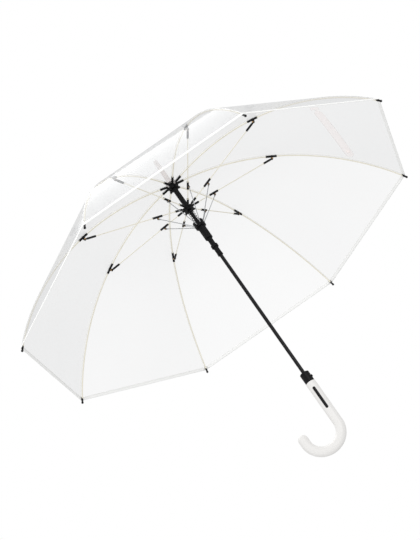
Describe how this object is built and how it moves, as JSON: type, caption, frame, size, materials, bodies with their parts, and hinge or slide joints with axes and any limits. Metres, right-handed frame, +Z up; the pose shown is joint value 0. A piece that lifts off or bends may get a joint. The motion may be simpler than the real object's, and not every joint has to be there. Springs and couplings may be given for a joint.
{
  "type": "stick umbrella",
  "caption": "Clear-film stick umbrella with crook handle, folding rib frame, floating star, spring and sliding runner, shown open.",
  "frame": {"origin": "on the shaft axis, in the middle of the straight grip of the handle", "axes": "+Z up the shaft towards the ferrule, +X the side the crook opens to"},
  "size_m": [0.9776, 0.9776, 0.871],
  "materials": {
    "clear_film": "clear film",
    "ivory_fibreglass": "satin",
    "black_fitting": "moulded",
    "steel_wire": "galvanised",
    "spring_steel": "blackened",
    "black_shaft": "gloss",
    "satin_white": "satin",
    "black_inlay": "gloss",
    "clear_spike": "frosted clear",
    "strap": "soft film"
  },
  "bodies": {
    "root": {"shaft": "black_shaft", "top_notch": "black_fitting", "ferrule": "clear_spike", "handle": "satin_white", "handle_inlay": "black_inlay", "handle_collar": "black_fitting"},
    "rib_1": {"rib_inner_1": "ivory_fibreglass", "rib_joints_1": "black_fitting", "canopy_panel_1": "clear_film"},
    "outer_1": {"rib_outer_1": "ivory_fibreglass"},
    "stretch_1": {"stretcher_1": "ivory_fibreglass"},
    "strut_1": {"strut_1": "steel_wire"},
    "rib_2": {"rib_inner_2": "ivory_fibreglass", "rib_joints_2": "black_fitting", "canopy_panel_2": "clear_film"},
    "outer_2": {"rib_outer_2": "ivory_fibreglass"},
    "stretch_2": {"stretcher_2": "ivory_fibreglass"},
    "strut_2": {"strut_2": "steel_wire"},
    "rib_3": {"rib_inner_3": "ivory_fibreglass", "rib_joints_3": "black_fitting", "canopy_panel_3": "clear_film"},
    "outer_3": {"rib_outer_3": "ivory_fibreglass"},
    "stretch_3": {"stretcher_3": "ivory_fibreglass"},
    "strut_3": {"strut_3": "steel_wire"},
    "rib_4": {"rib_inner_4": "ivory_fibreglass", "rib_joints_4": "black_fitting", "canopy_panel_4": "clear_film"},
    "outer_4": {"rib_outer_4": "ivory_fibreglass"},
    "stretch_4": {"stretcher_4": "ivory_fibreglass"},
    "strut_4": {"strut_4": "steel_wire"},
    "rib_5": {"rib_inner_5": "ivory_fibreglass", "rib_joints_5": "black_fitting", "canopy_panel_5": "clear_film"},
    "outer_5": {"rib_outer_5": "ivory_fibreglass"},
    "stretch_5": {"stretcher_5": "ivory_fibreglass"},
    "strut_5": {"strut_5": "steel_wire"},
    "rib_6": {"rib_inner_6": "ivory_fibreglass", "rib_joints_6": "black_fitting", "canopy_panel_6": "clear_film"},
    "outer_6": {"rib_outer_6": "ivory_fibreglass"},
    "stretch_6": {"stretcher_6": "ivory_fibreglass"},
    "strut_6": {"strut_6": "steel_wire"},
    "rib_7": {"rib_inner_7": "ivory_fibreglass", "rib_joints_7": "black_fitting", "canopy_panel_7": "clear_film"},
    "outer_7": {"rib_outer_7": "ivory_fibreglass"},
    "stretch_7": {"stretcher_7": "ivory_fibreglass"},
    "strut_7": {"strut_7": "steel_wire"},
    "rib_8": {"rib_inner_8": "ivory_fibreglass", "rib_joints_8": "black_fitting", "canopy_panel_8": "clear_film"},
    "outer_8": {"rib_outer_8": "ivory_fibreglass"},
    "stretch_8": {"stretcher_8": "ivory_fibreglass"},
    "strut_8": {"strut_8": "steel_wire"},
    "star": {"star_hub": "black_fitting"},
    "runner": {"runner": "black_fitting", "damper_spring": "spring_steel"},
    "tab": {"strap_tab": "strap"},
    "strap": {"tie_strap": "strap"},
    "button": {"release_button": "black_inlay"}
  },
  "joints": [
    {"name": "fold", "type": "hinge", "parent": "root", "child": "rib_1", "pos_m": [0.00924, 0.00383, 0.6655], "axis": [-0.3827, 0.9239, 0], "range_deg": [0, 72.94], "deforming": ["canopy_panel_1"]},
    {"name": "flex_1", "type": "hinge", "parent": "rib_1", "child": "outer_1", "pos_m": [0.25395, 0.10519, 0.63218], "axis": [-0.3827, 0.9239, 0], "range_deg": [-16, 0]},
    {"name": "stretcher_1_hinge", "type": "hinge", "parent": "rib_1", "child": "stretch_1", "pos_m": [0.24021, 0.0995, 0.63075], "axis": [-0.3827, 0.9239, 0], "range_deg": [-146.3, 0]},
    {"name": "strut_1_hinge", "type": "hinge", "parent": "stretch_1", "child": "strut_1", "pos_m": [0.07289, 0.03019, 0.6015], "axis": [-0.3827, 0.9239, 0], "range_deg": [0, 33.2]},
    {"name": "rib_2_hinge", "type": "hinge", "parent": "root", "child": "rib_2", "pos_m": [0.00383, 0.00924, 0.6655], "axis": [-0.9239, 0.3827, 0], "range_deg": [0, 72.94], "deforming": ["canopy_panel_2"]},
    {"name": "flex_2", "type": "hinge", "parent": "rib_2", "child": "outer_2", "pos_m": [0.10519, 0.25395, 0.63218], "axis": [-0.9239, 0.3827, 0], "range_deg": [-16, 0]},
    {"name": "stretcher_2_hinge", "type": "hinge", "parent": "rib_2", "child": "stretch_2", "pos_m": [0.0995, 0.24021, 0.63075], "axis": [-0.9239, 0.3827, 0], "range_deg": [-146.3, 0]},
    {"name": "strut_2_hinge", "type": "hinge", "parent": "stretch_2", "child": "strut_2", "pos_m": [0.03019, 0.07289, 0.6015], "axis": [-0.9239, 0.3827, 0], "range_deg": [0, 33.2]},
    {"name": "rib_3_hinge", "type": "hinge", "parent": "root", "child": "rib_3", "pos_m": [-0.00383, 0.00924, 0.6655], "axis": [-0.9239, -0.3827, 0], "range_deg": [0, 72.94], "deforming": ["canopy_panel_3"]},
    {"name": "flex_3", "type": "hinge", "parent": "rib_3", "child": "outer_3", "pos_m": [-0.10519, 0.25395, 0.63218], "axis": [-0.9239, -0.3827, 0], "range_deg": [-16, 0]},
    {"name": "stretcher_3_hinge", "type": "hinge", "parent": "rib_3", "child": "stretch_3", "pos_m": [-0.0995, 0.24021, 0.63075], "axis": [-0.9239, -0.3827, 0], "range_deg": [-146.3, 0]},
    {"name": "strut_3_hinge", "type": "hinge", "parent": "stretch_3", "child": "strut_3", "pos_m": [-0.03019, 0.07289, 0.6015], "axis": [-0.9239, -0.3827, 0], "range_deg": [0, 33.2]},
    {"name": "rib_4_hinge", "type": "hinge", "parent": "root", "child": "rib_4", "pos_m": [-0.00924, 0.00383, 0.6655], "axis": [-0.3827, -0.9239, 0], "range_deg": [0, 72.94], "deforming": ["canopy_panel_4"]},
    {"name": "flex_4", "type": "hinge", "parent": "rib_4", "child": "outer_4", "pos_m": [-0.25395, 0.10519, 0.63218], "axis": [-0.3827, -0.9239, 0], "range_deg": [-16, 0]},
    {"name": "stretcher_4_hinge", "type": "hinge", "parent": "rib_4", "child": "stretch_4", "pos_m": [-0.24021, 0.0995, 0.63075], "axis": [-0.3827, -0.9239, 0], "range_deg": [-146.3, 0]},
    {"name": "strut_4_hinge", "type": "hinge", "parent": "stretch_4", "child": "strut_4", "pos_m": [-0.07289, 0.03019, 0.6015], "axis": [-0.3827, -0.9239, 0], "range_deg": [0, 33.2]},
    {"name": "rib_5_hinge", "type": "hinge", "parent": "root", "child": "rib_5", "pos_m": [-0.00924, -0.00383, 0.6655], "axis": [0.3827, -0.9239, 0], "range_deg": [0, 72.94], "deforming": ["canopy_panel_5"]},
    {"name": "flex_5", "type": "hinge", "parent": "rib_5", "child": "outer_5", "pos_m": [-0.25395, -0.10519, 0.63218], "axis": [0.3827, -0.9239, 0], "range_deg": [-16, 0]},
    {"name": "stretcher_5_hinge", "type": "hinge", "parent": "rib_5", "child": "stretch_5", "pos_m": [-0.24021, -0.0995, 0.63075], "axis": [0.3827, -0.9239, 0], "range_deg": [-146.3, 0]},
    {"name": "strut_5_hinge", "type": "hinge", "parent": "stretch_5", "child": "strut_5", "pos_m": [-0.07289, -0.03019, 0.6015], "axis": [0.3827, -0.9239, 0], "range_deg": [0, 33.2]},
    {"name": "rib_6_hinge", "type": "hinge", "parent": "root", "child": "rib_6", "pos_m": [-0.00383, -0.00924, 0.6655], "axis": [0.9239, -0.3827, 0], "range_deg": [0, 72.94], "deforming": ["canopy_panel_6"]},
    {"name": "flex_6", "type": "hinge", "parent": "rib_6", "child": "outer_6", "pos_m": [-0.10519, -0.25395, 0.63218], "axis": [0.9239, -0.3827, 0], "range_deg": [-16, 0]},
    {"name": "stretcher_6_hinge", "type": "hinge", "parent": "rib_6", "child": "stretch_6", "pos_m": [-0.0995, -0.24021, 0.63075], "axis": [0.9239, -0.3827, 0], "range_deg": [-146.3, 0]},
    {"name": "strut_6_hinge", "type": "hinge", "parent": "stretch_6", "child": "strut_6", "pos_m": [-0.03019, -0.07289, 0.6015], "axis": [0.9239, -0.3827, 0], "range_deg": [0, 33.2]},
    {"name": "rib_7_hinge", "type": "hinge", "parent": "root", "child": "rib_7", "pos_m": [0.00383, -0.00924, 0.6655], "axis": [0.9239, 0.3827, 0], "range_deg": [0, 72.94], "deforming": ["canopy_panel_7"]},
    {"name": "flex_7", "type": "hinge", "parent": "rib_7", "child": "outer_7", "pos_m": [0.10519, -0.25395, 0.63218], "axis": [0.9239, 0.3827, 0], "range_deg": [-16, 0]},
    {"name": "stretcher_7_hinge", "type": "hinge", "parent": "rib_7", "child": "stretch_7", "pos_m": [0.0995, -0.24021, 0.63075], "axis": [0.9239, 0.3827, 0], "range_deg": [-146.3, 0]},
    {"name": "strut_7_hinge", "type": "hinge", "parent": "stretch_7", "child": "strut_7", "pos_m": [0.03019, -0.07289, 0.6015], "axis": [0.9239, 0.3827, 0], "range_deg": [0, 33.2]},
    {"name": "rib_8_hinge", "type": "hinge", "parent": "root", "child": "rib_8", "pos_m": [0.00924, -0.00383, 0.6655], "axis": [0.3827, 0.9239, 0], "range_deg": [0, 72.94], "deforming": ["canopy_panel_8"]},
    {"name": "flex_8", "type": "hinge", "parent": "rib_8", "child": "outer_8", "pos_m": [0.25395, -0.10519, 0.63218], "axis": [0.3827, 0.9239, 0], "range_deg": [-16, 0]},
    {"name": "stretcher_8_hinge", "type": "hinge", "parent": "rib_8", "child": "stretch_8", "pos_m": [0.24021, -0.0995, 0.63075], "axis": [0.3827, 0.9239, 0], "range_deg": [-146.3, 0]},
    {"name": "strut_8_hinge", "type": "hinge", "parent": "stretch_8", "child": "strut_8", "pos_m": [0.07289, -0.03019, 0.6015], "axis": [0.3827, 0.9239, 0], "range_deg": [0, 33.2]},
    {"name": "star_hinge", "type": "hinge", "parent": "stretch_1", "child": "star", "pos_m": [0.00924, 0.00383, 0.596], "axis": [-0.3827, 0.9239, 0], "range_deg": [0, 73.2]},
    {"name": "runner_slide", "type": "slide", "parent": "star", "child": "runner", "axis": [0, 0, 1], "range_m": [0, 0.0331], "deforming": ["damper_spring"]},
    {"name": "strap_gather", "type": "slide", "parent": "outer_3", "child": "tab", "axis": [0.9239, 0.3827, 0], "range_m": [0, 0.17062]},
    {"name": "strap_hang", "type": "hinge", "parent": "tab", "child": "strap", "pos_m": [-0.34083, 0.34083, 0.42627], "axis": [-0.9239, -0.3827, 0], "range_deg": [-57.8, 0]},
    {"name": "button_press", "type": "slide", "parent": "root", "child": "button", "axis": [1, 0, 0], "range_m": [0, 0.0015], "stiffness_N_per_m": 700, "springref_m": -0.0008}
  ],
  "couplings": [
    {"joint": "flex_1", "follows": "fold", "ratio": -0.21119},
    {"joint": "stretcher_1_hinge", "follows": "fold", "ratio": -2},
    {"joint": "strut_1_hinge", "follows": "fold", "ratio": 0.45118},
    {"joint": "rib_2_hinge", "follows": "fold", "ratio": 1},
    {"joint": "flex_2", "follows": "fold", "ratio": -0.21119},
    {"joint": "stretcher_2_hinge", "follows": "fold", "ratio": -2},
    {"joint": "strut_2_hinge", "follows": "fold", "ratio": 0.45118},
    {"joint": "rib_3_hinge", "follows": "fold", "ratio": 1},
    {"joint": "flex_3", "follows": "fold", "ratio": -0.21119},
    {"joint": "stretcher_3_hinge", "follows": "fold", "ratio": -2},
    {"joint": "strut_3_hinge", "follows": "fold", "ratio": 0.45118},
    {"joint": "rib_4_hinge", "follows": "fold", "ratio": 1},
    {"joint": "flex_4", "follows": "fold", "ratio": -0.21119},
    {"joint": "stretcher_4_hinge", "follows": "fold", "ratio": -2},
    {"joint": "strut_4_hinge", "follows": "fold", "ratio": 0.45118},
    {"joint": "rib_5_hinge", "follows": "fold", "ratio": 1},
    {"joint": "flex_5", "follows": "fold", "ratio": -0.21119},
    {"joint": "stretcher_5_hinge", "follows": "fold", "ratio": -2},
    {"joint": "strut_5_hinge", "follows": "fold", "ratio": 0.45118},
    {"joint": "rib_6_hinge", "follows": "fold", "ratio": 1},
    {"joint": "flex_6", "follows": "fold", "ratio": -0.21119},
    {"joint": "stretcher_6_hinge", "follows": "fold", "ratio": -2},
    {"joint": "strut_6_hinge", "follows": "fold", "ratio": 0.45118},
    {"joint": "rib_7_hinge", "follows": "fold", "ratio": 1},
    {"joint": "flex_7", "follows": "fold", "ratio": -0.21119},
    {"joint": "stretcher_7_hinge", "follows": "fold", "ratio": -2},
    {"joint": "strut_7_hinge", "follows": "fold", "ratio": 0.45118},
    {"joint": "rib_8_hinge", "follows": "fold", "ratio": 1},
    {"joint": "flex_8", "follows": "fold", "ratio": -0.21119},
    {"joint": "stretcher_8_hinge", "follows": "fold", "ratio": -2},
    {"joint": "strut_8_hinge", "follows": "fold", "ratio": 0.45118},
    {"joint": "star_hinge", "follows": "fold", "ratio": 1},
    {"joint": "runner_slide", "follows": "fold", "m_per_rad": 0.025837},
    {"joint": "strap_gather", "follows": "fold", "m_per_rad": 0.13362},
    {"joint": "strap_hang", "follows": "fold", "ratio": -0.78881}
  ]
}
